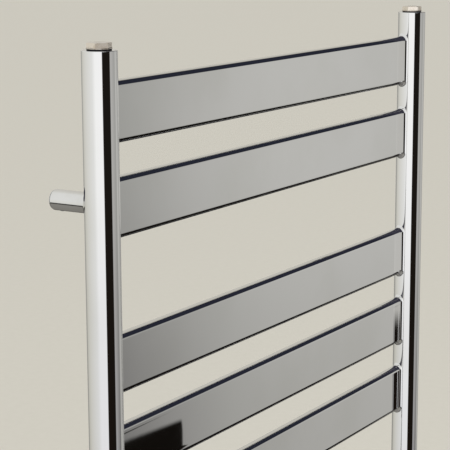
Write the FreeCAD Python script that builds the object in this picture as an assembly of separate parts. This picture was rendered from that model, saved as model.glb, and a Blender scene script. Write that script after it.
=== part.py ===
import FreeCAD, Part
import math
import os

os.makedirs("parts", exist_ok=True)

# Towel warmer rack: an electric, liquid-filled ladder rack that hangs on a wall.
# Millimetres. X runs along the bars, Y into the wall, Z up.
# The origin is on the wall face, in the middle of the four wall fixings.

# Driving sizes of the ladder
rack_width = 700.0
upright_radius = 16.85
upright_wall = 1.5
upright_length = 900.0
upright_wall_distance = 55.0
bar_height = 60.0
bar_depth = 12.0
bar_edge_radius = 5.6
bar_wall = 1.2
bar_pitch = 91.5
group_step = 153.5
bars_per_group = (2, 3, 3)
top_overhang = 30.0
bracket_bars = (2, 7)
bracket_rise = 8.0

# Length of a cutting tool that has to pass right through a piece
through_length = 60.0

# Threaded ends of the uprights
thread_radius = 10.2
thread_clearance = 0.02
bush_length = 15.0

# Plugs, their flat sealing rings and the air vent
plug_thread_length = 9.0
plug_flange_radius = 12.2
plug_flange_thickness = 1.0
plug_hex_width = 21.0
plug_hex_height = 4.8
plug_hex_chamfer = 0.7
ring_outer_radius = 11.8
ring_inner_radius = 10.3
ring_thickness = 1.3
ring_edge_radius = 0.45
left_plug_turn = 18.0
right_plug_turn = 2.0
bleed_stem_radius = 3.0
bleed_head_radius = 4.2
bleed_head_height = 2.4
bleed_stem_length = 9.0
bleed_clearance = 0.03
bleed_slot_width = 1.0
bleed_slot_depth = 1.2
bleed_head_sink = 0.2

# Wall brackets
sleeve_radius = 10.0
post_radius = 7.0
post_clearance = 0.03
post_length = 29.0
post_flange_radius = 9.4
post_flange_thickness = 0.8
sleeve_wall_gap = 1.1
sleeve_bore_depth = 33.0
wall_hole_radius = 3.0
wall_hole_countersink = 5.6
grub_radius = 2.5
grub_length = 2.8
grub_from_wall = 9.0
grub_socket_width = 2.5
grub_socket_depth = 1.5

# Heating element in the right upright
element_radius = 6.0
element_wall = 0.6
element_end_radius = 3.6
element_end_wall = 4.0
element_length = 430.0
core_radius = 4.2
core_length = 400.0
core_end_gap = 2.0
element_thread_length = 12.0
element_flange_radius = 13.0
element_flange_thickness = 2.0
element_hex_width = 22.0
element_hex_height = 8.0
element_neck_radius = 9.5
element_neck_length = 6.0

# Control head under the right upright
head_radius = 22.0
head_height = 74.0
head_wall = 2.0
head_front = 17.5
head_top_edge = 2.5
head_hex_gap = 0.3
cap_thickness = 3.0
cap_edge_radius = 1.2
cap_lip_height = 4.0
cap_lip_wall = 1.6
cap_boss_gap = 0.5
fit_gap = 0.1
dial_radius = 11.5
dial_height = 9.0
dial_gap = 0.5
dial_drop = 26.0
dial_grip_count = 24
dial_grip_depth = 0.5
dial_grip_radius = 0.9
dial_edge_radius = 1.2
dial_front_wall = 2.0
dial_groove_width = 1.2
dial_groove_depth = 0.8
dial_groove_start = 2.5
dial_groove_length = 8.5
dial_shaft_radius = 3.0
dial_running_gap = 0.05
dial_sensor_side = 14.0
dial_sensor_depth = 6.5
dial_sensor_back = 1.4
button_radius = 4.5
button_drop = 50.0
button_proud = 2.2
button_edge_radius = 0.6
button_skirt_radius = 5.4
button_skirt_thickness = 1.2
button_travel = 1.0
button_gap = 0.15
switch_side = 6.0
switch_depth = 3.6
lens_radius = 2.0
lens_drop = 9.0
lens_proud = 0.4
board_width = 30.0
board_height = 58.0
board_thickness = 1.6
board_face = 5.0
board_top_gap = 5.5
lamp_radius = 1.2
lamp_height = 0.7
relay_size = (12.0, 9.0, 16.0)
relay_drop = 50.0
terminal_size = (18.0, 8.0, 8.0)
terminal_drop = 28.0
gland_hex_width = 17.0
gland_hex_height = 4.0
gland_body_radius = 6.0
gland_dome_radius = 7.4
gland_dome_height = 9.0
gland_dome_edge = 2.4
gland_thread_end = 4.0
gland_bore_radius = 3.6
nut_height = 3.5
cap_screw_radius = 1.45
cap_screw_length = 9.0
cap_screw_head_radius = 2.7
cap_screw_head_height = 1.6
cap_screw_circle = 17.4
cap_boss_radius = 3.2
cap_boss_height = 12.0
screw_cross_length = 3.2
screw_cross_width = 0.7
screw_cross_depth = 0.8

# Places that follow from the driving sizes
upright_x = rack_width / 2 - upright_radius
upright_y = -upright_wall_distance
upright_bore_radius = upright_radius - upright_wall


def bar_tops():
    """Heights of the bars' upper edges, measured down from the highest bar."""
    tops = []
    height = 0.0
    for count in bars_per_group:
        for place in range(count):
            tops.append(height)
            height -= bar_pitch if place < count - 1 else group_step
    return tops


def bar_middle(number, tops):
    return tops[number - 1] - bar_height / 2


relative_tops = bar_tops()
pattern_middle = sum(bar_middle(n, relative_tops) for n in bracket_bars) / 2 + bracket_rise
tops = [height - pattern_middle for height in relative_tops]
bracket_spacing = bar_middle(bracket_bars[0], tops) - bar_middle(bracket_bars[1], tops)
upright_top = tops[0] + top_overhang
upright_bottom = upright_top - upright_length
sides = (("left", -1), ("right", 1))
levels = (("upper", bracket_spacing / 2), ("lower", -bracket_spacing / 2))


def vector(x, y, z):
    return FreeCAD.Vector(x, y, z)


def rod(radius, length, base, direction):
    return Part.makeCylinder(radius, length, base, direction)


def upward_rod(radius, length, x, y, z):
    return rod(radius, length, vector(x, y, z), vector(0, 0, 1))


def hexagon(width, height, x, y, z, turn):
    """Upright hexagonal prism, width measured across its flats."""
    corner = width / math.sqrt(3)
    points = []
    for step in range(7):
        angle = math.radians(60 * step + turn)
        points.append(vector(x + corner * math.cos(angle), y + corner * math.sin(angle), z))
    face = Part.Face(Part.makePolygon(points))
    return face.extrude(vector(0, 0, height))


def chamfered_hexagon(width, height, chamfer, x, y, z, turn):
    """Hexagon whose upper corners are turned off like those of a real nut."""
    prism = hexagon(width, height, x, y, z, turn)
    corner = width / math.sqrt(3)
    rise = chamfer * math.tan(math.radians(30)) * 2
    straight = upward_rod(width, height - rise, x, y, z)
    foot = vector(x, y, z + height - rise)
    cone = Part.makeCone(corner + 0.2, corner - chamfer, rise, foot, vector(0, 0, 1))
    return prism.common(straight.fuse(cone)).removeSplitter()


def rounded_slab(length, depth, height, radius, x, y, z):
    """Flat tube section run along X, its four long edges rounded."""
    slab = Part.makeBox(length, depth, height, vector(x, y, z))
    long_edges = [e for e in slab.Edges if abs(e.tangentAt(e.FirstParameter).x) > 0.99]
    return slab.makeFillet(radius, long_edges)


def save(shape, node):
    shape.exportStep("parts/" + node + ".step")


def make_upright(side):
    """Steel tube with one slot behind every bar end, so the liquid can circulate."""
    x = side * upright_x
    tube = upward_rod(upright_radius, upright_length, x, upright_y, upright_bottom)
    tube = tube.cut(upward_rod(upright_bore_radius, upright_length, x, upright_y, upright_bottom))
    slot_height = bar_height - 2 * bar_wall
    slot_depth = bar_depth - 2 * bar_wall
    slot_radius = bar_edge_radius - bar_wall
    start = x - upright_radius if side > 0 else x
    for top in tops:
        tube = tube.cut(rounded_slab(upright_radius, slot_depth, slot_height, slot_radius,
                                     start, upright_y + bar_wall, top - bar_height + bar_wall))
    return tube


def make_bar(top):
    """Flat steel tube, its ends cut to the round of the uprights and welded on."""
    length = 2 * upright_x
    bottom = top - bar_height
    outer = rounded_slab(length, bar_depth, bar_height, bar_edge_radius,
                         -upright_x, upright_y, bottom)
    inner = rounded_slab(length, bar_depth - 2 * bar_wall, bar_height - 2 * bar_wall,
                         bar_edge_radius - bar_wall,
                         -upright_x, upright_y + bar_wall, bottom + bar_wall)
    bar = outer.cut(inner)
    for name, side in sides:
        x = side * upright_x
        bar = bar.cut(upward_rod(upright_radius, bar_height + 2, x, upright_y, bottom - 1))
    return bar


def make_bush(side, bottom):
    """Threaded steel bush, welded flush into the end of an upright."""
    x = side * upright_x
    bush = upward_rod(upright_bore_radius, bush_length, x, upright_y, bottom)
    return bush.cut(upward_rod(thread_radius + thread_clearance, bush_length, x, upright_y, bottom))


def make_ring(side, bottom):
    """Black sealing ring, rounded on its outside."""
    x = side * upright_x
    ring = upward_rod(ring_outer_radius, ring_thickness, x, upright_y, bottom)
    rims = [e for e in ring.Edges if e.Curve.TypeId == "Part::GeomCircle"]
    ring = ring.makeFillet(ring_edge_radius, rims)
    return ring.cut(upward_rod(ring_inner_radius, ring_thickness, x, upright_y, bottom))


def make_plug(side, turn):
    """Nickel-plated hexagonal plug for the top of an upright."""
    x = side * upright_x
    seat = upright_top + ring_thickness
    thread = upward_rod(thread_radius, plug_thread_length, x, upright_y, seat - plug_thread_length)
    flange = upward_rod(plug_flange_radius, plug_flange_thickness, x, upright_y, seat)
    head = chamfered_hexagon(plug_hex_width, plug_hex_height, plug_hex_chamfer, x, upright_y,
                             seat + plug_flange_thickness, turn)
    return thread.fuse(flange).fuse(head).removeSplitter()


def make_vent_plug():
    """Top plug of the right upright, drilled through for the bleed screw."""
    x = upright_x
    top = upright_top + ring_thickness + plug_flange_thickness + plug_hex_height
    plug = make_plug(1, right_plug_turn)
    seat = top - bleed_head_height
    recess = upward_rod(bleed_head_radius + bleed_clearance, bleed_head_height, x, upright_y, seat)
    bore_radius = bleed_stem_radius + bleed_clearance
    bore = upward_rod(bore_radius, through_length, x, upright_y, seat - through_length)
    return plug.cut(recess).cut(bore)


def make_bleed_screw():
    """Slotted brass screw that is turned to let air out of the rack."""
    x = upright_x
    top = upright_top + ring_thickness + plug_flange_thickness + plug_hex_height
    seat = top - bleed_head_height
    head_length = bleed_head_height - bleed_head_sink
    head = upward_rod(bleed_head_radius, head_length, x, upright_y, seat + bleed_clearance)
    stem = upward_rod(bleed_stem_radius, bleed_stem_length, x, upright_y, seat - bleed_stem_length + 1)
    slot = Part.makeBox(2 * bleed_head_radius + 1, bleed_slot_width, bleed_slot_depth + 1,
                        vector(x - bleed_head_radius - 0.5, upright_y - bleed_slot_width / 2,
                               top - bleed_head_sink + bleed_clearance - bleed_slot_depth))
    return head.fuse(stem).cut(slot)


def make_bottom_plug():
    """The same hexagonal plug, upside down, closing the left upright below."""
    plug = make_plug(-1, left_plug_turn)
    mirrored = plug.mirror(vector(0, 0, (upright_top + upright_bottom) / 2), vector(0, 0, 1))
    return mirrored


def make_sleeve(side, level):
    """Chromed stand-off, its front end cut to the upright and welded on."""
    x = side * upright_x
    length = upright_wall_distance - sleeve_wall_gap
    into_wall = vector(0, 1, 0)
    sleeve = rod(sleeve_radius, length, vector(x, upright_y, level), into_wall)
    bore = rod(post_radius + post_clearance, sleeve_bore_depth,
               vector(x, -sleeve_wall_gap - sleeve_bore_depth, level), into_wall)
    hole = rod(grub_radius, sleeve_radius + 1, vector(x, -grub_from_wall, level), vector(0, 0, -1))
    upright = upward_rod(upright_radius, 4 * sleeve_radius, x, upright_y, level - 2 * sleeve_radius)
    return sleeve.cut(bore).cut(hole).cut(upright)


def make_post(side, level):
    """Die-cast post that is screwed to the wall and carries the stand-off."""
    x = side * upright_x
    outward = vector(0, -1, 0)
    base = vector(x, 0, level)
    flange = rod(post_flange_radius, post_flange_thickness, base, outward)
    post = rod(post_radius, post_length, base, outward)
    hole = rod(wall_hole_radius, post_length, base, outward)
    depth = wall_hole_countersink - wall_hole_radius
    countersink = Part.makeCone(wall_hole_radius, wall_hole_countersink, depth,
                                vector(x, -post_length + depth, level), outward)
    return flange.fuse(post).cut(hole).cut(countersink).removeSplitter()


def make_grub_screw(side, level):
    """Socket grub screw in the underside of a stand-off, nipping the post."""
    x = side * upright_x
    y = -grub_from_wall
    start = level - post_radius - post_clearance
    screw = rod(grub_radius, grub_length, vector(x, y, start), vector(0, 0, -1))
    socket = hexagon(grub_socket_width, grub_socket_depth + 1, x, y, start - grub_length - 1, 0)
    return screw.cut(socket)


def make_element_head():
    """Nickel-plated brass head that screws the element into the right upright."""
    x = upright_x
    seat = upright_bottom - ring_thickness
    thread = upward_rod(thread_radius, element_thread_length, x, upright_y, seat)
    flange = upward_rod(element_flange_radius, element_flange_thickness, x, upright_y,
                        seat - element_flange_thickness)
    hex_bottom = seat - element_flange_thickness - element_hex_height
    grip = hexagon(element_hex_width, element_hex_height, x, upright_y, hex_bottom, 0)
    neck_bottom = hex_bottom - element_neck_length
    neck = upward_rod(element_neck_radius, element_neck_length, x, upright_y, neck_bottom)
    bore = upward_rod(element_radius, through_length, x, upright_y, neck_bottom - 1)
    return thread.fuse(flange).fuse(grip).fuse(neck).cut(bore).removeSplitter()


def make_element_tube():
    """Stainless tube of the element, closed at its upper end."""
    x = upright_x
    bottom = element_bottom()
    tube = upward_rod(element_radius, element_length, x, upright_y, bottom)
    tube = tube.makeFillet(element_end_radius, edges_at_top(tube))
    hollow_length = element_length - element_end_wall
    return tube.cut(upward_rod(element_radius - element_wall, hollow_length, x, upright_y, bottom))


def edges_at_top(shape):
    return [e for e in shape.Edges if e.BoundBox.ZMin > shape.BoundBox.ZMax - 0.01]


def edges_at_bottom(shape):
    return [e for e in shape.Edges if e.BoundBox.ZMax < shape.BoundBox.ZMin + 0.01]


def edges_at_front(shape):
    return [e for e in shape.Edges if e.BoundBox.YMax < shape.BoundBox.YMin + 0.01]


def element_bottom():
    hex_bottom = upright_bottom - ring_thickness - element_flange_thickness - element_hex_height
    return hex_bottom - element_neck_length


def make_element_core():
    """Ceramic core with the heating wire, inside the stainless tube."""
    bottom = element_bottom() + element_length - element_end_wall - core_end_gap - core_length
    return upward_rod(core_radius, core_length, upright_x, upright_y, bottom)


def head_top():
    return element_bottom() + element_neck_length - head_hex_gap


def head_profile(inset, height, bottom):
    """Round column with a flat front, pulled in by the given inset."""
    x = upright_x
    radius = head_radius - inset
    column = upward_rod(radius, height, x, upright_y, bottom)
    block = Part.makeBox(4 * head_radius, head_front - inset + 2 * head_radius, height,
                         vector(x - 2 * head_radius, upright_y - head_front + inset, bottom))
    return column.common(block)


def front_rod(radius, length, drop, front):
    """Rod that starts at the given distance before the upright's axis and runs back."""
    base = vector(upright_x, upright_y - front, head_top() - drop)
    return rod(radius, length, base, vector(0, 1, 0))


def boss_places():
    places = []
    for angle in (90, 210, 330):
        turn = math.radians(angle)
        places.append((upright_x + cap_screw_circle * math.cos(turn),
                       upright_y + cap_screw_circle * math.sin(turn)))
    return places


def make_head_shell():
    """Moulded shell of the control head with openings for dial, button and lamp."""
    bottom = head_top() - head_height
    outer = head_profile(0, head_height, bottom)
    outer = outer.makeFillet(head_top_edge, edges_at_top(outer))
    inner = head_profile(head_wall, head_height - head_wall, bottom)
    shell = outer.cut(inner)
    neck_hole = upward_rod(element_neck_radius + fit_gap, 2 * head_wall,
                           upright_x, upright_y, head_top() - head_wall)
    shell = shell.cut(neck_hole)
    shell = shell.cut(front_rod(dial_shaft_radius + 0.5, head_wall + 2, dial_drop, head_front + 1))
    shell = shell.cut(front_rod(button_radius + button_gap, head_wall + 2, button_drop, head_front + 1))
    shell = shell.cut(front_rod(lens_radius, head_wall + 2, lens_drop, head_front + 1))
    start = bottom + cap_lip_height + cap_boss_gap
    for x, y in boss_places():
        boss = upward_rod(cap_boss_radius, cap_boss_height, x, y, start).common(inner)
        drill = upward_rod(cap_screw_radius, cap_boss_height - 2, x, y, start)
        shell = shell.fuse(boss).cut(drill)
    return shell.removeSplitter()


def make_head_cap():
    """Bottom cap of the control head with a lip that locates inside the shell."""
    bottom = head_top() - head_height
    cap = head_profile(0, cap_thickness, bottom - cap_thickness)
    cap = cap.makeFillet(cap_edge_radius, edges_at_bottom(cap))
    inside = head_profile(head_wall + fit_gap, cap_lip_height + cap_boss_gap, bottom)
    lip = head_profile(head_wall + fit_gap, cap_lip_height, bottom)
    lip = lip.cut(head_profile(head_wall + fit_gap + cap_lip_wall, cap_lip_height, bottom))
    cap = cap.fuse(lip)
    under = bottom - cap_thickness
    gland_hole_radius = gland_body_radius + fit_gap
    cap = cap.cut(upward_rod(gland_hole_radius, 2 * cap_thickness, upright_x, upright_y, under - 1))
    for x, y in boss_places():
        boss = upward_rod(cap_boss_radius, cap_lip_height + cap_boss_gap, x, y, bottom)
        stem_hole = upward_rod(cap_screw_radius + fit_gap, through_length, x, y, under - 1)
        head_hole = upward_rod(cap_screw_head_radius + fit_gap, cap_screw_head_height + 1, x, y, under - 1)
        cap = cap.fuse(boss.common(inside)).cut(stem_hole).cut(head_hole)
    return cap.removeSplitter()


def make_cap_screw(x, y):
    bottom = head_top() - head_height - cap_thickness
    head = upward_rod(cap_screw_head_radius, cap_screw_head_height, x, y, bottom)
    stem = upward_rod(cap_screw_radius, cap_screw_length, x, y, bottom + cap_screw_head_height)
    long, narrow = screw_cross_length, screw_cross_width
    cross = Part.makeBox(long, narrow, screw_cross_depth, vector(x - long / 2, y - narrow / 2, bottom))
    cross = cross.fuse(Part.makeBox(narrow, long, screw_cross_depth,
                                    vector(x - narrow / 2, y - long / 2, bottom)))
    return head.fuse(stem).cut(cross)


def make_dial():
    """Heat dial with a fluted rim and a pointer groove."""
    front = head_front + dial_gap + dial_height
    dial = front_rod(dial_radius, dial_height, dial_drop, front)
    dial = dial.makeFillet(dial_edge_radius, edges_at_front(dial))
    grip_circle = dial_radius - dial_grip_depth + dial_grip_radius
    for step in range(dial_grip_count):
        angle = 2 * math.pi * (step + 0.5) / dial_grip_count
        base = vector(upright_x + grip_circle * math.cos(angle), upright_y - front - 1,
                      head_top() - dial_drop + grip_circle * math.sin(angle))
        dial = dial.cut(rod(dial_grip_radius, dial_height, base, vector(0, 1, 0)))
    groove = Part.makeBox(dial_groove_width, dial_groove_depth, dial_groove_length,
                          vector(upright_x - dial_groove_width / 2, upright_y - front,
                                 head_top() - dial_drop + dial_groove_start))
    socket_depth = dial_height - dial_front_wall
    socket = front_rod(dial_shaft_radius, socket_depth, dial_drop, front - dial_front_wall)
    return dial.cut(groove).cut(socket)


def make_dial_shaft():
    """Shaft that carries the dial and turns inside its sensor."""
    start = head_front + dial_gap + dial_height - dial_front_wall
    return front_rod(dial_shaft_radius, start - board_face - 1.5, dial_drop, start)


def make_dial_sensor():
    """Body of the rotary sensor, soldered to the board."""
    x = upright_x - dial_sensor_side / 2
    z = head_top() - dial_drop - dial_sensor_side / 2
    front = board_face + dial_sensor_depth
    body = Part.makeBox(dial_sensor_side, dial_sensor_depth, dial_sensor_side,
                        vector(x, upright_y - front, z))
    bore_depth = dial_sensor_depth - dial_sensor_back
    return body.cut(front_rod(dial_shaft_radius + dial_running_gap, bore_depth, dial_drop, front))


def make_button():
    """Push button with a skirt behind the shell that keeps it in."""
    stem_end = board_face + switch_depth + 0.05
    front = head_front + button_proud
    stem = front_rod(button_radius, front - stem_end - button_travel, button_drop, front)
    stem = stem.makeFillet(button_edge_radius, edges_at_front(stem))
    skirt_front = head_front - head_wall - fit_gap
    skirt = front_rod(button_skirt_radius, button_skirt_thickness, button_drop, skirt_front)
    return stem.fuse(skirt)


def make_switch():
    """Small press switch behind the button."""
    front = board_face + switch_depth
    x = upright_x - switch_side / 2
    z = head_top() - button_drop - switch_side / 2
    return Part.makeBox(switch_side, switch_depth, switch_side, vector(x, upright_y - front, z))


def make_lens():
    """Clear light guide over the lamp on the board."""
    front = head_front + lens_proud
    return front_rod(lens_radius, front - board_face - 0.8, lens_drop, front)


def make_board():
    """Circuit board with its lamp, relay and terminal block."""
    x = upright_x - board_width / 2
    top = head_top() - board_top_gap
    back = upright_y - board_face + board_thickness
    board = Part.makeBox(board_width, board_thickness, board_height,
                         vector(x, upright_y - board_face, top - board_height))
    lamp = front_rod(lamp_radius, 2 * lamp_height, lens_drop, board_face + lamp_height)
    relay = Part.makeBox(*relay_size, vector(upright_x - relay_size[0] / 2, back, top - relay_drop))
    block_x = upright_x - terminal_size[0] / 2
    block = Part.makeBox(*terminal_size, vector(block_x, back, top - terminal_drop))
    neck = upward_rod(element_neck_radius + 2 * fit_gap, through_length, upright_x, upright_y, element_bottom())
    return board.fuse(lamp).fuse(relay).fuse(block).cut(neck)


def make_gland():
    """Cable gland in the cap, drilled for the round mains lead."""
    bottom = head_top() - head_height - cap_thickness
    grip = hexagon(gland_hex_width, gland_hex_height, upright_x, upright_y, bottom - gland_hex_height, 30)
    body_length = cap_thickness + nut_height + gland_thread_end
    body = upward_rod(gland_body_radius, body_length, upright_x, upright_y, bottom)
    dome = upward_rod(gland_dome_radius, gland_dome_height, upright_x, upright_y,
                      bottom - gland_hex_height - gland_dome_height)
    dome = dome.makeFillet(gland_dome_edge, edges_at_bottom(dome))
    bore = upward_rod(gland_bore_radius, through_length, upright_x, upright_y, bottom - through_length / 2)
    return grip.fuse(body).fuse(dome).cut(bore).removeSplitter()


def make_gland_nut():
    bottom = head_top() - head_height
    nut = hexagon(gland_hex_width, nut_height, upright_x, upright_y, bottom, 30)
    return nut.cut(upward_rod(gland_body_radius, nut_height, upright_x, upright_y, bottom))


for name, side in sides:
    save(make_upright(side), "upright_" + name)
    save(make_bush(side, upright_top - bush_length), "end_bush_top_" + name)
    save(make_bush(side, upright_bottom), "end_bush_bottom_" + name)
    save(make_ring(side, upright_top), "sealing_ring_top_" + name)
    save(make_ring(side, upright_bottom - ring_thickness), "sealing_ring_bottom_" + name)
    for level_name, level in levels:
        save(make_sleeve(side, level), "standoff_" + level_name + "_" + name)
        save(make_post(side, level), "wall_post_" + level_name + "_" + name)

for number, top in enumerate(tops, 1):
    save(make_bar(top), "flat_bar_" + str(number))

save(make_plug(-1, left_plug_turn), "plug_top_left")
save(make_vent_plug(), "vent_plug_top_right")
save(make_bleed_screw(), "bleed_screw")
save(make_bottom_plug(), "plug_bottom_left")
save(Part.makeCompound([make_grub_screw(side, level) for n, side in sides for m, level in levels]),
     "standoff_grub_screws")
save(make_element_head(), "element_head")
save(make_element_tube(), "element_tube")
save(make_element_core(), "element_core")
save(make_head_shell(), "control_shell")
save(make_head_cap(), "control_cap")
save(Part.makeCompound([make_cap_screw(x, y) for x, y in boss_places()]), "control_cap_screws")
save(make_dial(), "heat_dial")
save(make_dial_shaft(), "dial_shaft")
save(make_dial_sensor(), "dial_sensor")
save(make_button(), "power_button")
save(make_switch(), "power_switch")
save(make_lens(), "lamp_lens")
save(make_board(), "circuit_board")
save(make_gland(), "cable_gland")
save(make_gland_nut(), "cable_gland_nut")
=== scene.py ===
import math

import bmesh
import bpy
import numpy as np
from mathutils import Matrix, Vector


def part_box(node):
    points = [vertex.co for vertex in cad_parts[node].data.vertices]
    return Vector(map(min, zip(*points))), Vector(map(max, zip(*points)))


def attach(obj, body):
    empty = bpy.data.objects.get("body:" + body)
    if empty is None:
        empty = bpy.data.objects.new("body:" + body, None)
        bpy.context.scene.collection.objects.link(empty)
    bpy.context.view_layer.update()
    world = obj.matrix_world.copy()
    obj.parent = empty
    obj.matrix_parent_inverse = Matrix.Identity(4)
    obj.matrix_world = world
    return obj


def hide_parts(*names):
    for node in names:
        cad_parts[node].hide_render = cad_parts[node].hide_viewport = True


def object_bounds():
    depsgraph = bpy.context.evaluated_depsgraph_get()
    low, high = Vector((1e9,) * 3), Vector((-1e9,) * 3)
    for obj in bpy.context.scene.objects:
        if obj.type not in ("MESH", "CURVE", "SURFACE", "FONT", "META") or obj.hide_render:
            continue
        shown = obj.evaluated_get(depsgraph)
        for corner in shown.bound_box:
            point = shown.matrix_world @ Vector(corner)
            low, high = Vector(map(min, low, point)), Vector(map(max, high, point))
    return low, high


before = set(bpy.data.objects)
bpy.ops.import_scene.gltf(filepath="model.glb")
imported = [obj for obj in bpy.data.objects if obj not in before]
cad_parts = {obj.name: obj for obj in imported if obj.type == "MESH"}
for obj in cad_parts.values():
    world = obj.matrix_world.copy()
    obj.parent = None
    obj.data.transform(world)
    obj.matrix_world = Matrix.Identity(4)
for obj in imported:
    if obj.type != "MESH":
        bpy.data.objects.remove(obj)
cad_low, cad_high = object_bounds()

MM = 0.001
scene = bpy.context.scene

# Camera: stands to the left of the rack, a little above its top bar, and looks down
# along the bars towards the wall. A long lens keeps the uprights nearly parallel.
camera_place = (-1.5298, -0.9306, 0.5553)
camera_heading = math.radians(58.23)
camera_dip = math.radians(10.89)
camera_lean = math.radians(-0.24)
camera_data = bpy.data.cameras.new("rack_camera")
camera_data.sensor_width = 36.0
camera_data.lens = 129.0
camera = bpy.data.objects.new("rack_camera", camera_data)
scene.collection.objects.link(camera)
camera.matrix_world = (
    Matrix.Translation(camera_place)
    @ Matrix.Rotation(-camera_heading, 4, "Z")
    @ Matrix.Rotation(math.pi / 2 - camera_dip, 4, "X")
    @ Matrix.Rotation(camera_lean, 4, "Z")
)
scene.camera = camera

# Studio room: polished chrome shows whatever stands round it. On the left is a white
# screen, then a dark gap, then a grey card; over the card it is dark, behind the rack
# pale, and the floor starts where the screens end. Bearings are in degrees from
# straight behind the camera, heights in degrees above the horizon.
room_turn = math.radians(148.2)
screen_top = ((-180, (0.36, 0.355, 0.33)), (-150, (0.36, 0.355, 0.33)), (-126, (0.66, 0.65, 0.59)),
              (-100, (0.74, 0.73, 0.68)), (-45, (0.86, 0.86, 0.84)), (-25, (1.03, 1.03, 1.02)),
              (18.5, (1.04, 1.04, 1.04)), (20.5, (0.012, 0.010, 0.008)), (70.5, (0.012, 0.010, 0.008)),
              (74, (0.51, 0.50, 0.48)), (112, (0.385, 0.383, 0.365)), (114.9, (0.492, 0.486, 0.463)),
              (117, (0.545, 0.539, 0.514)), (119, (0.571, 0.565, 0.538)), (121.4, (0.564, 0.558, 0.533)),
              (125, (0.53, 0.525, 0.50)), (150, (0.36, 0.355, 0.34)), (180, (0.36, 0.355, 0.33)))
screen_foot = ((-180, (0.30, 0.295, 0.27)), (-150, (0.30, 0.295, 0.27)), (-126, (0.57, 0.56, 0.50)),
               (-100, (0.66, 0.65, 0.60)), (-45, (0.77, 0.77, 0.76)), (-25, (0.87, 0.87, 0.89)),
               (18.5, (0.88, 0.88, 0.90)), (20.5, (0.012, 0.008, 0.006)), (70.5, (0.010, 0.008, 0.006)),
               (74, (0.40, 0.39, 0.39)), (112, (0.19, 0.185, 0.18)), (114.9, (0.31, 0.305, 0.29)),
               (117, (0.395, 0.39, 0.367)), (119, (0.435, 0.428, 0.405)), (122, (0.46, 0.453, 0.43)),
               (128, (0.48, 0.473, 0.445)), (150, (0.30, 0.295, 0.28)), (180, (0.30, 0.295, 0.27)))
ceiling = ((-180, (0.60, 0.58, 0.53)), (-120, (0.80, 0.80, 0.78)), (30, (0.85, 0.85, 0.85)),
           (60, (0.021, 0.023, 0.036)), (149, (0.021, 0.023, 0.036)), (158, (0.55, 0.53, 0.47)),
           (180, (0.60, 0.58, 0.53)))
floor_tone = ((-180, (0.008, 0.008, 0.008)), (-160, (0.22, 0.21, 0.19)), (0, (0.30, 0.29, 0.27)),
              (96, (0.24, 0.23, 0.21)), (106, (0.006, 0.005, 0.004)), (180, (0.008, 0.008, 0.008)))
floor_edge = ((-180, -20.2), (72, -20.2), (100, -20.0), (111, -18.9), (115.3, -17.55), (119, -17.6),
              (180, -18.1))
floor_step = 1.75
floor_step_from, floor_step_to = 114.75, 115.0
backdrop = (0.62, 0.60, 0.54)
soft_fill = (0.92, 0.91, 0.88)
echo_grey = (0.66, 0.65, 0.62)
echo_dark = (0.05, 0.05, 0.07)
# Heights between which one tone gives way to the next
top_to_foot = (-7.0, -19.5)
screen_to_ceiling = (1.0, 4.0)
edge_blur = 0.12
edge_scale = 25.0
shade_to_floor = (-23.0, -34.0)
floor_shade = (0.006, 0.005, 0.004)
echo_to_ceiling = (1.0, 5.0)
echo_to_floor = (-13.6, -14.6)

scene.view_settings.view_transform = "Standard"
world = bpy.data.worlds.new("studio")
scene.world = world
world.use_nodes = True
room = world.node_tree
room.nodes.clear()


def add_node(tree, kind, **settings):
    """Adds one shader node and sets its properties."""
    made = tree.nodes.new(kind)
    for key, value in settings.items():
        setattr(made, key, value)
    return made


def feed(tree, socket, value):
    """Links a socket to what feeds it, or sets it to a plain number or colour."""
    if isinstance(value, bpy.types.NodeSocket):
        tree.links.new(value, socket)
    elif isinstance(value, tuple) and len(value) == 3 and socket.type == "RGBA":
        socket.default_value = (*value, 1.0)
    else:
        socket.default_value = value


def calculate(tree, operation, *values):
    """Result of a Math node."""
    made = add_node(tree, "ShaderNodeMath", operation=operation)
    for place, value in enumerate(values):
        feed(tree, made.inputs[place], value)
    return made.outputs[0]


def ramp(tree, factor, stops):
    """Colour ramp through the given (place, colour) stops."""
    made = add_node(tree, "ShaderNodeValToRGB")
    elements = made.color_ramp.elements
    elements.remove(elements[-1])
    elements[0].position, elements[0].color = stops[0][0], (*stops[0][1], 1.0)
    for place, colour in stops[1:]:
        elements.new(place).color = (*colour, 1.0)
    feed(tree, made.inputs[0], factor)
    return made.outputs[0]


def fade(tree, value, low, high):
    """0 below low, 1 above high, smooth between them."""
    made = add_node(tree, "ShaderNodeMapRange", interpolation_type="SMOOTHSTEP")
    feed(tree, made.inputs["Value"], value)
    made.inputs["From Min"].default_value = low
    made.inputs["From Max"].default_value = high
    return made.outputs[0]


def mix_colours(tree, factor, first, second):
    """Mix of two colours, each a socket or a plain colour."""
    made = add_node(tree, "ShaderNodeMix", data_type="RGBA")
    feed(tree, made.inputs[0], factor)
    feed(tree, made.inputs[6], first)
    feed(tree, made.inputs[7], second)
    return made.outputs[2]


def ring_stops(stops):
    """Ramp stops from (bearing, colour) pairs; the ramp runs from -180 to 180 degrees."""
    return [((bearing + 180) / 360, colour) for bearing, colour in stops]


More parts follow.
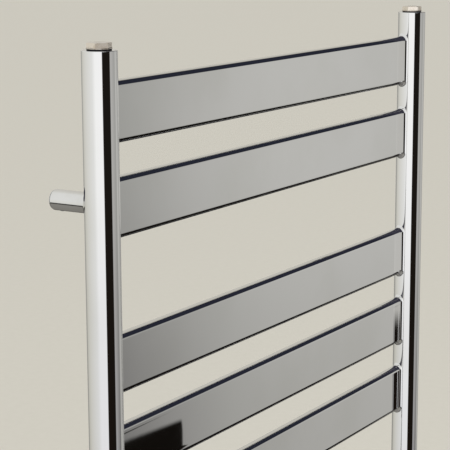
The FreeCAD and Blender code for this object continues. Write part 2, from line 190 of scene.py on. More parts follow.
turned_room = add_node(room, "ShaderNodeVectorRotate", rotation_type="Z_AXIS")
turned_room.inputs["Angle"].default_value = room_turn
feed(room, turned_room.inputs["Vector"], add_node(room, "ShaderNodeTexCoord").outputs["Generated"])
split = add_node(room, "ShaderNodeSeparateXYZ")
feed(room, split.inputs[0], turned_room.outputs[0])
bearing = calculate(room, "DEGREES", calculate(room, "ARCTAN2", split.outputs["Y"], split.outputs["X"]))
bearing = calculate(room, "MULTIPLY_ADD", bearing, 1 / 360, 0.5)
height = calculate(room, "DEGREES", calculate(room, "ARCSINE", split.outputs["Z"]))
screens = mix_colours(room, fade(room, height, *top_to_foot),
                      ramp(room, bearing, ring_stops(screen_top)),
                      ramp(room, bearing, ring_stops(screen_foot)))
screens = mix_colours(room, fade(room, height, *screen_to_ceiling), screens,
                      ramp(room, bearing, ring_stops(ceiling)))
# The ramp holds each edge height as a grey between 0 and 1; past the step the edge is lower.
edge_grey = [(place, (value / -edge_scale,) * 3) for place, value in ring_stops(floor_edge)]
over_edge = calculate(room, "MULTIPLY_ADD", ramp(room, bearing, edge_grey), edge_scale, height)
past_step = fade(room, bearing, (floor_step_from + 180) / 360, (floor_step_to + 180) / 360)
over_edge = calculate(room, "MULTIPLY_ADD", past_step, floor_step, over_edge)
shade = mix_colours(room, fade(room, height, *shade_to_floor), floor_shade,
                    ramp(room, bearing, ring_stops(floor_tone)))
around = mix_colours(room, fade(room, over_edge, edge_blur, -edge_blur), screens, shade)
# A second bounce, as between a bar's end and its upright, sees a plainer room.
rays = add_node(room, "ShaderNodeLightPath")
echo = mix_colours(room, fade(room, height, *echo_to_ceiling), echo_grey, echo_dark)
echo = mix_colours(room, fade(room, height, *echo_to_floor), echo, around)
second_bounce = calculate(room, "GREATER_THAN", rays.outputs["Glossy Depth"], 1.5)
seen = mix_colours(room, second_bounce, around, echo)
seen = mix_colours(room, rays.outputs["Is Glossy Ray"], soft_fill, seen)
seen = mix_colours(room, rays.outputs["Is Camera Ray"], seen, backdrop)
room_light = add_node(room, "ShaderNodeBackground")
feed(room, room_light.inputs["Color"], seen)
feed(room, add_node(room, "ShaderNodeOutputWorld").inputs["Surface"], room_light.outputs[0])

# Studio lamps: a soft key lamp, a broad front panel that only the flat bars and the plugs
# see, and the pale floor.
key_size = 1.6
key_power = 26.0
key_place = (-1.4, -2.2, 2.2)
key_turn = (math.radians(48), 0, math.radians(-32))
panel_place = (-0.85, -3.0, -1.2)
panel_size = (3.8, 4.2)
panel_colour = (1.0, 0.985, 0.96)
panel_power = 26.0

key_data = bpy.data.lights.new("soft_key", "AREA")
key_data.shape = "DISK"
key_data.size = key_size
key_data.energy = key_power
key = bpy.data.objects.new("soft_key", key_data)
scene.collection.objects.link(key)
key.location = key_place
key.rotation_euler = key_turn
key.visible_glossy = False

flat_faces = bpy.data.collections.new("flat_faces")
panel_data = bpy.data.lights.new("front_panel", "AREA")
panel_data.shape = "RECTANGLE"
panel_data.size, panel_data.size_y = panel_size
panel_data.color = panel_colour
panel_data.energy = panel_power
panel = bpy.data.objects.new("front_panel", panel_data)
scene.collection.objects.link(panel)
panel.location = panel_place
panel.rotation_euler = (math.radians(90), 0, 0)
panel.visible_camera = False
panel.visible_diffuse = False
panel.light_linking.receiver_collection = flat_faces


def sheet_object(name, corners, material):
    """One flat rectangle of the studio."""
    mesh = bpy.data.meshes.new(name)
    mesh.from_pydata(corners, [], [(0, 1, 2, 3)])
    mesh.materials.append(material)
    made = bpy.data.objects.new(name, mesh)
    scene.collection.objects.link(made)
    return made


def new_material(name):
    """An empty Principled material, its tree and its shader."""
    material = bpy.data.materials.new(name)
    material.use_nodes = True
    return material, material.node_tree, material.node_tree.nodes["Principled BSDF"]


floor_half = 30.0
floor_level = cad_low.z - 0.10
floor_paints = (0.652, 0.632, 0.569), (0.665, 0.645, 0.582)
floor_grain = 45.0
floor_paint, floor_tree, floor_shader = new_material("floor_paint")
floor_cloud = add_node(floor_tree, "ShaderNodeTexNoise")
floor_cloud.inputs["Scale"].default_value = floor_grain
feed(floor_tree, floor_cloud.inputs["Vector"], add_node(floor_tree, "ShaderNodeTexCoord").outputs["Object"])
feed(floor_tree, floor_shader.inputs["Base Color"],
     ramp(floor_tree, floor_cloud.outputs["Fac"], ((0.3, floor_paints[0]), (0.7, floor_paints[1]))))
floor_shader.inputs["Roughness"].default_value = 0.9
floor_corners = [(x * floor_half, y * floor_half, floor_level)
                 for x, y in ((-1, -1), (1, -1), (1, 1), (-1, 1))]
floor = sheet_object("floor", floor_corners, floor_paint)
floor.visible_glossy = False

# Uprights: two round steel tubes, polished and bright chrome plated, their cut ends
# slightly eased. The bars and the stand-offs are welded to them before plating.
upright_low, upright_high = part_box("upright_left")
upright_radius = (upright_high.x - upright_low.x) / 2
upright_y = (upright_low.y + upright_high.y) / 2
upright_x = -(upright_low.x + upright_high.x) / 2
upright_bore = 15.35 * MM
upright_ease = 0.5 * MM
upright_columns = 192
sides = (("left", -1), ("right", 1))


def skin(name, grids, material, body, sharp=32.0, bevel=0.0):
    """One closed mesh from grids of points, rows by columns: neighbours are joined by
    quads and the last column to the first, points that meet are merged, and a grid
    whose enclosed volume comes out negative is turned the right way out."""
    vertices, faces, first = [], [], 0
    for points in grids:
        rows, columns = points.shape[:2]
        place = np.arange(rows * columns).reshape(rows, columns)
        after = np.roll(place, -1, axis=1)
        quads = np.stack([place[:-1], after[:-1], after[1:], place[1:]], axis=-1).reshape(-1, 4)
        flat = points.reshape(-1, 3)
        a, b, c, d = (flat[quads[:, k]] - flat.mean(axis=0) for k in range(4))
        volume = (a * np.cross(b, c) + a * np.cross(c, d)).sum()
        faces.append((quads if volume > 0 else quads[:, ::-1]) + first)
        vertices.append(flat)
        first += len(flat)
    mesh = bpy.data.meshes.new(name)
    mesh.from_pydata(np.concatenate(vertices).tolist(), [], np.concatenate(faces).tolist())
    shell = bmesh.new()
    shell.from_mesh(mesh)
    bmesh.ops.remove_doubles(shell, verts=shell.verts, dist=2e-6)
    bmesh.ops.dissolve_degenerate(shell, edges=shell.edges, dist=1e-7)
    shell.to_mesh(mesh)
    shell.free()
    mesh.set_sharp_from_angle(angle=math.radians(sharp))
    mesh.materials.append(material)
    piece = bpy.data.objects.new(name, mesh)
    scene.collection.objects.link(piece)
    if bevel:
        eased = piece.modifiers.new("eased_edges", "BEVEL")
        eased.width, eased.segments, eased.limit_method = bevel, 2, "ANGLE"
        eased.angle_limit = math.radians(sharp)
    flats = piece.modifiers.new("true_flats", "WEIGHTED_NORMAL")
    flats.keep_sharp = True
    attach(piece, body)
    return piece


def turn_profile(profile, centre, along="z", columns=96):
    """Surface of revolution: each (radius, place along the axis) of the profile carried
    round the line through the centre, which runs along z or y."""
    angle = np.linspace(0, 2 * np.pi, columns, endpoint=False)
    radius, run = np.asarray(profile)[:, 0, None], np.asarray(profile)[:, 1, None]
    first = centre[0] + radius * np.cos(angle)
    second = centre[1] + radius * np.sin(angle)
    run = np.broadcast_to(run, first.shape)
    return np.stack([first, second, run] if along == "z" else [first, run, second], axis=-1)


def arc(centre_r, centre_run, radius, start, stop, steps=7):
    """Points of a circular arc in the plane of a profile, angles in degrees."""
    angle = np.radians(np.linspace(start, stop, steps))
    return np.stack([centre_r + radius * np.cos(angle), centre_run + radius * np.sin(angle)], axis=-1)


def tube_profile(inner, outer, low, high, ease):
    """Closed outline of a tube wall, its outer corners rounded to the eased radius."""
    return np.concatenate([[(inner, low), (inner, high)], arc(outer - ease, high - ease, ease, 90, 0),
                           arc(outer - ease, low + ease, ease, 0, -90), [(inner, low)]])


surface = bpy.data.node_groups.new("surface_detail", "ShaderNodeTree")
for socket in ("Light", "Dull"):
    surface.interface.new_socket(socket, in_out="INPUT", socket_type="NodeSocketColor")
for socket in ("Smooth", "Rough", "Cloud Scale", "Ripple Scale"):
    surface.interface.new_socket(socket, in_out="INPUT", socket_type="NodeSocketFloat")
surface.interface.new_socket("Colour", in_out="OUTPUT", socket_type="NodeSocketColor")
surface.interface.new_socket("Roughness", in_out="OUTPUT", socket_type="NodeSocketFloat")
surface.interface.new_socket("Height", in_out="OUTPUT", socket_type="NodeSocketFloat")
surface_in = add_node(surface, "NodeGroupInput").outputs
surface_out = add_node(surface, "NodeGroupOutput").inputs
surface_place = add_node(surface, "ShaderNodeTexCoord").outputs["Object"]
cloud = add_node(surface, "ShaderNodeTexNoise")
cloud.inputs["Detail"].default_value = 4.0
feed(surface, cloud.inputs["Vector"], surface_place)
feed(surface, cloud.inputs["Scale"], surface_in["Cloud Scale"])
cloud_mask = fade(surface, cloud.outputs["Fac"], 0.42, 0.72)
feed(surface, surface_out["Colour"],
     mix_colours(surface, cloud_mask, surface_in["Light"], surface_in["Dull"]))
rough_span = calculate(surface, "SUBTRACT", surface_in["Rough"], surface_in["Smooth"])
feed(surface, surface_out["Roughness"],
     calculate(surface, "MULTIPLY_ADD", cloud_mask, rough_span, surface_in["Smooth"]))
ripple = add_node(surface, "ShaderNodeTexNoise")
ripple.inputs["Detail"].default_value = 1.0
feed(surface, ripple.inputs["Vector"], surface_place)
feed(surface, ripple.inputs["Scale"], surface_in["Ripple Scale"])
feed(surface, surface_out["Height"], ripple.outputs["Fac"])


def detailed(name, light, dull, gloss, cloud_scale, ripple_scale, ripple_depth, metal=1.0):
    """A finish whose colour drifts from light to dull and whose roughness drifts between
    the two gloss values in clouds, over a surface that ripples by the given depth."""
    material, tree, shader = new_material(name)
    group = add_node(tree, "ShaderNodeGroup", node_tree=surface)
    for socket, value in (("Light", light), ("Dull", dull), ("Smooth", gloss[0]), ("Rough", gloss[1]),
                          ("Cloud Scale", cloud_scale), ("Ripple Scale", ripple_scale)):
        feed(tree, group.inputs[socket], value)
    shader.inputs["Metallic"].default_value = metal
    feed(tree, shader.inputs["Base Color"], group.outputs["Colour"])
    feed(tree, shader.inputs["Roughness"], group.outputs["Roughness"])
    bump = add_node(tree, "ShaderNodeBump")
    bump.inputs["Distance"].default_value = ripple_depth
    feed(tree, bump.inputs["Height"], group.outputs["Height"])
    feed(tree, shader.inputs["Normal"], bump.outputs[0])
    return material


upright_chrome = detailed("upright_chrome", (0.84, 0.84, 0.84), (0.81, 0.81, 0.80),
                          (0.012, 0.035), 9.0, 60.0, 2e-6)
for side, sign in sides:
    outline = tube_profile(upright_bore, upright_radius, upright_low.z, upright_high.z, upright_ease)
    wall = turn_profile(outline, (sign * upright_x, upright_y), columns=upright_columns)
    tube = skin("upright_tube_" + side, [wall], upright_chrome, "rack")
    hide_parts("upright_" + side)

# Bars: flat-sided steel tubes with well rounded edges, their ends cut to the round of
# the uprights. Polishing leaves the broad faces a hair fuller in the middle.
bar_edge = 5.6 * MM
bar_crown = 0.03 * MM
bar_sink = 0.4 * MM
bar_face_steps = 22
bar_corner_steps = 12
bar_chrome = detailed("bar_chrome", (0.84, 0.84, 0.84), (0.80, 0.80, 0.79), (0.014, 0.032), 7.0, 45.0, 3e-6)
bar_names = sorted(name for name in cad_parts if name.startswith("flat_bar_"))


def bar_section(name):
    """Rounded rectangle round the bar's box, corners as quarter circles and the two
    broad faces bowed out by a parabola of the crown's height."""
    low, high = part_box(name)
    middle, half = (low.z + high.z) / 2, (high.z - low.z) / 2 - bar_edge
    run = np.linspace(-1, 1, bar_face_steps)[1:-1]
    bow = bar_crown * (1 - run ** 2)
    front, back = low.y + bar_edge, high.y - bar_edge
    loop = ((back, middle + half, 0), (front, middle + half, 90),
            (front, middle - half, 180), (back, middle - half, 270))
    corners = [arc(y, z, bar_edge, turn, turn + 90, bar_corner_steps) for y, z, turn in loop]
    front_face = np.column_stack([low.y - bow + bar_crown, middle - run * half])
    back_face = np.column_stack([high.y + bow - bar_crown, middle + run * half])
    return np.concatenate([corners[0], corners[1], front_face, corners[2], corners[3], back_face])


def saddle_x(y, sink=0.0):
    """Distance from the rack's middle at which a bar meets the round of an upright."""
    return upright_x - np.sqrt(upright_radius ** 2 - (y - upright_y) ** 2) + sink


for name in bar_names:
    section = bar_section(name)
    middle = section.mean(axis=0)
    reach = saddle_x(section[:, 0], bar_sink)
    rows = [np.column_stack([sign * (reach if share else np.full(len(section), reach.mean())),
                             middle + (section - middle) * share])
            for sign, share in ((-1, 0.0), (-1, 1.0), (1, 1.0), (1, 0.0))]
    bar = skin(name.replace("flat", "chrome"), [np.stack(rows)], bar_chrome, "rack")
    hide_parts(name)
    flat_faces.objects.link(bar)

# Welds: a smooth hollow fillet runs round every bar end and stand-off where it meets the
# upright, dressed by hand and plated with the rest.
weld_leg = 4.0 * MM
weld_root = 0.3 * MM
weld_turn = np.radians(np.linspace(0, 90, 11))[:, None, None]


def hollow_fillet(corner, on_first, on_second, inside):
    """Quarter-round hollow between two surfaces, swept along their corner: the corner
    plus what is left of each leg after the sine and the cosine of the turn."""
    curve = (corner + (on_first - corner) * (1 - np.sin(weld_turn))
             + (on_second - corner) * (1 - np.cos(weld_turn)))
    return np.concatenate([inside[None], curve, inside[None]])


for side, sign in sides:
    fillets = []
    for name in bar_names:
        section = bar_section(name)
        along = np.roll(section, -1, axis=0) - np.roll(section, 1, axis=0)
        outward = np.column_stack([along[:, 1], -along[:, 0]])
        outward /= np.linalg.norm(outward, axis=1)[:, None]
        wide = section + outward * weld_leg
        root = section - outward * weld_root
        corner_x = saddle_x(section[:, 0])
        fillet = hollow_fillet(np.column_stack([corner_x, section]),
                               np.column_stack([corner_x - weld_leg, section]),
                               np.column_stack([saddle_x(wide[:, 0]), wide]),
                               np.column_stack([corner_x + weld_root, root]))
        fillet[..., 0] *= sign
        fillets.append(fillet)
    skin("bar_welds_" + side, fillets, upright_chrome, "rack", sharp=60)

# End bushes: turned steel rings with a pipe thread, welded flush into the tube ends and
# plated with the rack.
bush_bore = 10.22 * MM
bush_chamfer = 0.6 * MM
bush_ease = 0.15 * MM
for end in ("top", "bottom"):
    for side, sign in sides:
        low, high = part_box("end_bush_%s_%s" % (end, side))
        outline = np.concatenate([
            [(bush_bore + bush_chamfer, low.z), (bush_bore, low.z + bush_chamfer),
             (bush_bore, high.z - bush_chamfer), (bush_bore + bush_chamfer, high.z)],
            arc(upright_bore - bush_ease, high.z - bush_ease, bush_ease, 90, 0, 4),
            arc(upright_bore - bush_ease, low.z + bush_ease, bush_ease, 0, -90, 4),
            [(bush_bore + bush_chamfer, low.z)]])
        bush = skin("threaded_bush_%s_%s" % (end, side),
                    [turn_profile(outline, (sign * upright_x, upright_y))],
                    upright_chrome, "rack")
        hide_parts("end_bush_%s_%s" % (end, side))

# Sealing rings: black rubber rings squeezed between each plug's flange and the bush, so
# their outside bulges.
ring_bore = 10.3 * MM
rubber = detailed("ring_rubber", (0.012, 0.012, 0.013), (0.026, 0.025, 0.024),
                  (0.45, 0.65), 900.0, 2500.0, 8e-6, metal=0.0)
for end in ("top", "bottom"):
    for side, sign in sides:
        low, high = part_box("sealing_ring_%s_%s" % (end, side))
        swell = (high.z - low.z) / 2
        outline = np.concatenate([[(ring_bore, low.z), (ring_bore, high.z)],
                                  arc((high.x - low.x) / 2 - swell, low.z + swell, swell, 90, -90, 11),
                                  [(ring_bore, low.z)]])
        ring = skin("rubber_ring_%s_%s" % (end, side),
                    [turn_profile(outline, (sign * upright_x, upright_y))],
                    rubber, "rack", sharp=60)
        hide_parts("sealing_ring_%s_%s" % (end, side))

# Plugs: hexagonal heads turned from brass bar and nickel plated, each with a thin flange
# and a pipe thread. Their corners are turned off, which leaves a curved edge on each flat.
plug_hex_width = 21.0 * MM
plug_flange = 12.2 * MM
plug_flange_thickness = 1.0 * MM
plug_thread = 10.2 * MM
plug_thread_length = 9.0 * MM
plug_lead = 0.6 * MM
plug_edge = 0.3 * MM
plug_round = 1.06
plug_bevel = 0.12 * MM
plug_turns = (48.0, 32.0)
bleed_recess = 4.23 * MM
bleed_recess_depth = 2.4 * MM
nickel = detailed("plug_nickel", (0.82, 0.755, 0.675), (0.66, 0.58, 0.48),
                  (0.09, 0.22), 170.0, 420.0, 2.5e-5)


def hexagon_side(width, turn, columns=192):
    """Angles round a hexagon and the distance to its side at each: half the width over
    the cosine of the angle from the flat's middle."""
    turned = np.linspace(0, 2 * np.pi, columns, endpoint=False)
    sixth = math.pi / 3
    from_flat = (turned + sixth / 2) % sixth - sixth / 2
    return math.radians(turn) + turned, width / 2 / np.cos(from_flat)


def hexagon_head(centre, base, up, height, width, turn, recess=0.0, depth=0.0):
    """Hexagonal head whose far corners are turned off by a 30 degree cone, with a round
    recess of the given depth in its top."""
    angle, side = hexagon_side(width, turn)
    top = np.minimum(side, width / 2 * plug_round)
    fall = (side - top) * math.tan(math.radians(30))
    none = np.zeros(len(angle))
    levels = [(none, none), (side, none), (side, height - fall), (top, none + height),
              (none + recess, none + height), (none + recess, none + height - depth),
              (none, none + height - depth)]
    return np.stack([np.column_stack([centre[0] + r * np.cos(angle), centre[1] + r * np.sin(angle),
                                      base + up * h]) for r, h in levels])


for name, replaced, end, sign, up, turn in (
        ("nickel_plug_left", "plug_top_left", "top_left", -1, 1, plug_turns[0]),
        ("nickel_vent_plug", "vent_plug_top_right", "top_right", 1, 1, plug_turns[1]),
        ("nickel_plug_below", "plug_bottom_left", "bottom_left", -1, -1, plug_turns[0])):
    ring_low, ring_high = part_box("sealing_ring_" + end)
    low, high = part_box(replaced)
    seat = ring_high.z if up > 0 else ring_low.z
    tip = high.z if up > 0 else low.z
    centre = (sign * upright_x, upright_y)
    flange = np.concatenate([
        [(0, -plug_thread_length), (plug_thread - plug_lead, -plug_thread_length),
         (plug_thread, -plug_thread_length + plug_lead), (plug_thread, 0)],
        arc(plug_flange - plug_edge, plug_edge, plug_edge, -90, 0, 5),
        arc(plug_flange - plug_edge, plug_flange_thickness - plug_edge, plug_edge, 0, 90, 5),
        [(0, plug_flange_thickness)]])
    flange[:, 1] = seat + up * flange[:, 1]
    foot = seat + up * plug_flange_thickness
    vented = replaced.startswith("vent")
    head = hexagon_head(centre, foot, up, abs(tip - foot), plug_hex_width, turn,
                        bleed_recess if vented else 0.0, bleed_recess_depth if vented else 0.0)
    plug = skin(name, [turn_profile(flange, centre), head], nickel, "rack",
                sharp=20, bevel=plug_bevel)
    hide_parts(replaced)
    flat_faces.objects.link(plug)

# Bleed screw: a small slotted brass screw in the middle of the right plug.
brass = detailed("bleed_brass", (0.80, 0.62, 0.33), (0.55, 0.40, 0.20), (0.18, 0.35), 700.0, 1500.0, 1.5e-5)


def finish_as_made(material, *names):
    """Gives the frame's own meshes their material and leaves their shape alone."""
    for name in names:
        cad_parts[name].data.materials.clear()
        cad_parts[name].data.materials.append(material)


finish_as_made(brass, "bleed_screw")

# Stand-offs: chromed steel sleeves welded to the backs of the uprights. Each slides over
# a die-cast post on the wall and is nipped by a socket grub screw from below.
sleeve_radius = 10.0 * MM
sleeve_end = -1.1 * MM
sleeve_bore = 7.03 * MM
sleeve_bore_depth = 33.0 * MM
sleeve_ease = 0.5 * MM
sleeve_weld = 1.6 * MM
weld_shrink = 0.97
post_radius = 7.0 * MM
post_flange = 9.4 * MM
post_flange_thickness = 0.8 * MM
post_length = 29.0 * MM
post_hole = 3.0 * MM
post_countersink = 5.6 * MM
grub_radius = 2.5 * MM
grub_from_wall = 9.0 * MM
grub_end = 10.15 * MM
grub_socket = 2.5 * MM
grub_socket_depth = 1.5 * MM
grub_chamfer = 0.3 * MM
grub_socket_reach = grub_socket / 2 * 1.12
post_bevel = 0.15 * MM
sleeve_chrome = detailed("standoff_chrome", (0.83, 0.83, 0.82), (0.79, 0.79, 0.77),
                         (0.02, 0.06), 40.0, 120.0, 2e-6)
zinc = detailed("post_zinc", (0.56, 0.57, 0.58), (0.40, 0.41, 0.42), (0.38, 0.55), 260.0, 800.0, 3e-5)
screw_steel = detailed("screw_steel", (0.58, 0.58, 0.58), (0.40, 0.40, 0.41),
                       (0.25, 0.40), 900.0, 2500.0, 1e-5)
grub_screws = []
for level_name in ("upper", "lower"):
    for side, sign in sides:
        tag = level_name + "_" + side
        low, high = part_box("standoff_" + tag)
        x, z = sign * upright_x, (low.z + high.z) / 2
        angle = np.linspace(0, 2 * np.pi, 96, endpoint=False)
        saddle_y = upright_y + np.sqrt(upright_radius ** 2 - (sleeve_radius * np.cos(angle)) ** 2)
        tail = turn_profile(np.concatenate([
            arc(sleeve_radius - sleeve_ease, sleeve_end - sleeve_ease, sleeve_ease, 0, 90),
            [(sleeve_bore, sleeve_end), (sleeve_bore, sleeve_end - sleeve_bore_depth),
             (0, sleeve_end - sleeve_bore_depth)]]), (x, z), "y")
        cut = np.column_stack([x + sleeve_radius * np.cos(angle), saddle_y - weld_root,
                               z + sleeve_radius * np.sin(angle)])
        core = np.broadcast_to([x, saddle_y.min() - weld_root, z], cut.shape)
        wide = sleeve_radius + sleeve_weld
        wide_y = upright_y + np.sqrt(upright_radius ** 2 - (wide * np.cos(angle)) ** 2)
        on_upright = np.column_stack([x + wide * np.cos(angle), wide_y, z + wide * np.sin(angle)])
        under_weld = (cut - [x, 0, z]) * [weld_shrink, 1, weld_shrink] + [x, 0, z]
        fillet = hollow_fillet(cut + [0, weld_root, 0], cut + [0, weld_root + sleeve_weld, 0],
                               on_upright, under_weld)
        sleeve = skin("sleeve_" + tag, [np.concatenate([core[None], cut[None], tail]), fillet],
                      sleeve_chrome, "rack")
        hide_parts("standoff_" + tag)
        sink = post_countersink - post_hole
        post_outline = [(post_hole, 0), (post_flange, 0), (post_flange, -post_flange_thickness),
                        (post_radius, -post_flange_thickness), (post_radius, -post_length + sleeve_ease),
                        (post_radius - sleeve_ease, -post_length), (post_countersink, -post_length),
                        (post_hole, -post_length + sink), (post_hole, 0)]
        post = skin("cast_post_" + tag, [turn_profile(post_outline, (x, z), "y")],
                    zinc, "wall_brackets", bevel=post_bevel)
        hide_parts("wall_post_" + tag)
        grub_outline = [(0, z - post_radius), (grub_radius, z - post_radius),
                        (grub_radius, z - grub_end + grub_chamfer),
                        (grub_radius - grub_chamfer, z - grub_end),
                        (grub_socket_reach, z - grub_end),
                        (grub_socket_reach, z - grub_end + grub_socket_depth),
                        (0, z - grub_end + grub_socket_depth)]
        grub_screws.append(turn_profile(grub_outline, (x, -grub_from_wall), columns=48))
grubs = skin("grub_screws", grub_screws, screw_steel, "rack")
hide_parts("standoff_grub_screws")

# Heating element: a nickel-plated head screwed into the right upright from below, with a
# stainless tube and a ceramic core that stand inside the upright.
element_flange = 13.0 * MM
element_flange_thickness = 2.0 * MM
element_hex_width = 22.0 * MM
element_hex_height = 8.0 * MM
element_neck = 9.5 * MM
element_neck_length = 6.0 * MM
element_thread_length = 12.0 * MM
element_turn = 30.0
right = (upright_x, upright_y)
element_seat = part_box("sealing_ring_bottom_right")[0].z
flange_foot = element_seat - element_flange_thickness
element_foot = flange_foot - element_hex_height
thread_tip = element_seat + element_thread_length
element_body = np.concatenate([
    [(0, thread_tip), (plug_thread - plug_lead, thread_tip),
     (plug_thread, thread_tip - plug_lead), (plug_thread, element_seat)],
    arc(element_flange - plug_edge, element_seat - plug_edge, plug_edge, 90, 0, 5),
    arc(element_flange - plug_edge, flange_foot + plug_edge, plug_edge, 0, -90, 5),
    [(element_neck, flange_foot), (element_neck, element_foot - element_neck_length),
     (0, element_foot - element_neck_length)]])
element_hex = hexagon_head(right, flange_foot, -1, element_hex_height, element_hex_width, element_turn)
element_head = skin("element_fitting", [turn_profile(element_body, right), element_hex], nickel, "rack",
                    sharp=20, bevel=plug_bevel)
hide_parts("element_head")
flat_faces.objects.link(element_head)
stainless = detailed("element_stainless", (0.60, 0.59, 0.57), (0.46, 0.44, 0.41),
                     (0.22, 0.38), 60.0, 500.0, 6e-6)
ceramic = detailed("element_ceramic", (0.82, 0.80, 0.74), (0.68, 0.65, 0.58),
                   (0.6, 0.8), 300.0, 1200.0, 4e-5, metal=0.0)
finish_as_made(stainless, "element_tube")
finish_as_made(ceramic, "element_core")

# Control head: a chrome-plated moulding with a flat front that hangs on the element's
# neck, closed below by a black cap with three cross-head screws.
head_radius = 22.0 * MM
head_front = 17.5 * MM
head_wall = 2.0 * MM
head_edge = 2.5 * MM
head_neck_hole = 9.6 * MM
corner_softness = 0.5 * MM
least_facing = 0.3
shell_low, shell_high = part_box("control_shell")
shell_chrome = detailed("shell_chrome", (0.82, 0.82, 0.82), (0.78, 0.78, 0.77),
                        (0.03, 0.07), 60.0, 150.0, 4e-6)
cap_black = detailed("cap_black", (0.022, 0.022, 0.024), (0.034, 0.034, 0.036),
                     (0.42, 0.55), 300.0, 2200.0, 3e-5, metal=0.0)


def head_outline(inset, columns=256):
    """Round plan with a flat front: the smaller of the circle's radius and the distance
    to the flat, blended with a logarithm of exponentials so that the corners are soft."""
    angle = np.linspace(0, 2 * np.pi, columns, endpoint=False)
    circle = np.full(columns, head_radius - inset)
    flat = (head_front - inset) / np.maximum(-np.sin(angle), least_facing)
    radius = -corner_softness * np.logaddexp(-circle / corner_softness, -flat / corner_softness)
    return np.minimum(radius, circle), angle


def head_row(inset, z, radius=None):
    """One level of the control head, at the given height."""
    outline, angle = head_outline(inset)
    outline = outline if radius is None else np.full(len(angle), radius)
    return np.column_stack([upright_x + outline * np.cos(angle), upright_y + outline * np.sin(angle),
                            np.full(len(angle), z)])


edge_turn = np.radians(np.linspace(0, 90, 9))
shell_rows = [head_row(head_wall, shell_low.z), head_row(0, shell_low.z)]
shell_rows += [head_row(head_edge * (1 - math.cos(t)), shell_high.z - head_edge * (1 - math.sin(t)))
               for t in edge_turn]
shell_rows += [head_row(0, shell_high.z, head_neck_hole),
               head_row(0, shell_high.z - head_wall, head_neck_hole),
               head_row(head_wall, shell_high.z - head_wall), head_row(head_wall, shell_low.z)]
shell = skin("control_housing", [np.stack(shell_rows)], shell_chrome, "rack", sharp=40)
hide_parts("control_shell")
finish_as_made(cap_black, "control_cap")
finish_as_made(screw_steel, "control_cap_screws")

# Heat dial: a satin black knob with a fluted rim and a white line in its pointer groove,
# pressed on a steel shaft that turns in the sensor behind it.
dial_radius = 11.5 * MM
dial_flutes = 24
dial_flute_depth = 0.5 * MM
dial_edge = 1.2 * MM
dial_columns = 288
pointer_half = 0.55 * MM
pointer_from, pointer_to = 2.6 * MM, 10.0 * MM
pointer_depth, pointer_rise = 0.5 * MM, 0.05 * MM
dial_low, dial_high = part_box("heat_dial")
dial_z = (dial_low.z + dial_high.z) / 2
dial_black = detailed("dial_black", (0.018, 0.018, 0.020), (0.030, 0.030, 0.032),
                      (0.30, 0.42), 400.0, 2600.0, 2e-5, metal=0.0)
dial_angle = np.linspace(0, 2 * np.pi, dial_columns, endpoint=False)
flute = dial_flute_depth * np.maximum(np.cos(dial_flutes * dial_angle), 0.0) ** 1.5
dial_rows = []
dial_rim = [(dial_edge * (1 - math.cos(t)), dial_low.y + dial_edge * (1 - math.sin(t))) for t in edge_turn[1:]]
for inset, y in ([(dial_radius, dial_high.y), (0, dial_high.y), (0, dial_low.y + dial_edge)]
                 + dial_rim + [(dial_radius, dial_low.y)]):
    radius = np.maximum(dial_radius - inset - (flute if inset < dial_edge else 0.0), 0.0)
    dial_rows.append(np.column_stack([upright_x + radius * np.cos(dial_angle), np.full(dial_columns, y),
                                      dial_z + radius * np.sin(dial_angle)]))
dial = skin("heat_knob", [np.stack(dial_rows)], dial_black, "dial", sharp=50)
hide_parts("heat_dial")
pointer_paint = detailed("pointer_paint", (0.80, 0.80, 0.77), (0.70, 0.70, 0.66),
                         (0.4, 0.55), 900.0, 3000.0, 1e-5, metal=0.0)
pointer_corners = ((-1, pointer_from), (1, pointer_from), (1, pointer_to), (-1, pointer_to))
pointer = [[(upright_x + across * pointer_half, y, dial_z + z) for across, z in pointer_corners]
           for y in (dial_low.y + pointer_depth, dial_low.y - pointer_rise)]
pointer_middle = np.mean(pointer, axis=1, keepdims=True) + np.zeros((2, 4, 3))
skin("dial_pointer", [np.concatenate([pointer_middle[:1], pointer, pointer_middle[1:]])],
     pointer_paint, "dial")
finish_as_made(screw_steel, "dial_shaft")
finish_as_made(cap_black, "dial_sensor")

# Power button, its switch, the lamp's light guide and the board behind them: the button
# is a slightly dished gloss black cap, the light guide a small red dome.
button_dish = 0.25 * MM
button_dish_share = 0.85
button_edge = 0.6 * MM
button_low, button_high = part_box("power_button")
button_z = (button_low.z + button_high.z) / 2
button_radius = 4.5 * MM
button_black = detailed("button_black", (0.015, 0.015, 0.017), (0.024, 0.024, 0.026),
                        (0.12, 0.22), 500.0, 1800.0, 6e-6, metal=0.0)
dish = [(button_radius * share, button_low.y + button_dish * (1 - share ** 2))
        for share in np.linspace(0, button_dish_share, 8)]
button_profile = np.concatenate([
    dish,
    arc(button_radius - button_edge, button_low.y + button_edge, button_edge, -90, 0, 6),
    [(button_radius, button_high.y), (0, button_high.y)]])
button = skin("push_button", [turn_profile(button_profile, (upright_x, button_z), "y")],
              button_black, "button", sharp=45)
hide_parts("power_button")
lens_low, lens_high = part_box("lamp_lens")
lens_radius = (lens_high.x - lens_low.x) / 2
lens_z = (lens_low.z + lens_high.z) / 2
lens_dome = 0.35 * MM
lens_reds = (0.42, 0.03, 0.015), (0.60, 0.06, 0.03)
lens_red, lens_tree, lens_shader = new_material("lens_red")
lens_glow = add_node(lens_tree, "ShaderNodeTexNoise")
lens_glow.inputs["Scale"].default_value = 900.0
feed(lens_tree, lens_glow.inputs["Vector"], add_node(lens_tree, "ShaderNodeTexCoord").outputs["Object"])
feed(lens_tree, lens_shader.inputs["Base Color"],
     ramp(lens_tree, lens_glow.outputs["Fac"], ((0.3, lens_reds[0]), (0.7, lens_reds[1]))))
lens_shader.inputs["Roughness"].default_value = 0.12
lens_shader.inputs["Coat Weight"].default_value = 0.6
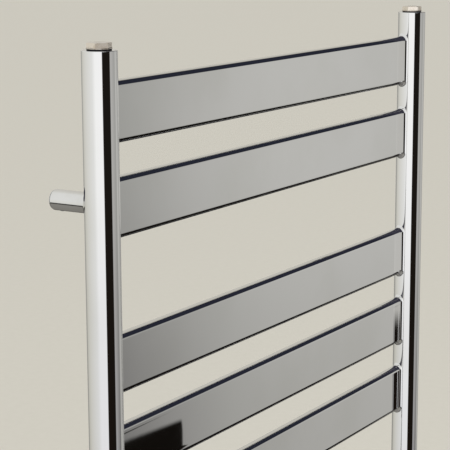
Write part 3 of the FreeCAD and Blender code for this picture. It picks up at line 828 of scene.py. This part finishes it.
lens_profile = [(0, lens_high.y), (lens_radius, lens_high.y)] + [
    (lens_radius * math.cos(t), lens_low.y + lens_dome * (1 - math.sin(t))) for t in edge_turn]
lens = skin("light_guide", [turn_profile(lens_profile, (upright_x, lens_z), "y", 48)],
            lens_red, "rack", sharp=60)
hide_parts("lamp_lens")
board_green = detailed("board_green", (0.02, 0.15, 0.06), (0.03, 0.22, 0.09),
                       (0.3, 0.45), 420.0, 1500.0, 3e-5, metal=0.0)
finish_as_made(board_green, "circuit_board")
finish_as_made(cap_black, "power_switch")

# Cable gland: a black polyamide gland in the cap, open for the round mains lead.
gland_bore = 3.6 * MM
gland_dome = 7.4 * MM
gland_dome_edge = 2.4 * MM
gland_body = 6.0 * MM
gland_hex_width = 17.0 * MM
gland_hex_height = 4.0 * MM
gland_turn = 60.0
gland_lip = 0.4 * MM
gland_overlap = 0.2 * MM
gland_bevel = 0.2 * MM
gland_low, gland_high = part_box("cable_gland")
gland_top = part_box("control_cap")[0].z
gland_black = detailed("gland_black", (0.024, 0.024, 0.026), (0.036, 0.036, 0.038),
                       (0.40, 0.55), 350.0, 2000.0, 3e-5, metal=0.0)
gland_profile = np.concatenate([
    [(gland_bore, gland_high.z), (gland_bore, gland_low.z + gland_lip),
     (gland_bore + gland_lip, gland_low.z)],
    arc(gland_dome - gland_dome_edge, gland_low.z + gland_dome_edge, gland_dome_edge, -90, 0, 9),
    [(gland_dome, gland_top - gland_hex_height), (gland_body, gland_top - gland_hex_height),
     (gland_body, gland_high.z), (gland_bore, gland_high.z)]])
gland_angle, gland_side = hexagon_side(gland_hex_width, gland_turn)
gland_inside = np.full(len(gland_angle), gland_body - gland_overlap)
gland_foot = gland_top - gland_hex_height
gland_rows = ((gland_inside, gland_top), (gland_side, gland_top), (gland_side, gland_foot),
              (gland_inside, gland_foot), (gland_inside, gland_top))
gland_hex = np.stack([np.column_stack([upright_x + r * np.cos(gland_angle),
                                       upright_y + r * np.sin(gland_angle),
                                       np.full(len(gland_angle), z)]) for r, z in gland_rows])
gland = skin("lead_gland", [turn_profile(gland_profile, right), gland_hex],
             gland_black, "rack", bevel=gland_bevel)
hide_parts("cable_gland")
finish_as_made(gland_black, "cable_gland_nut")
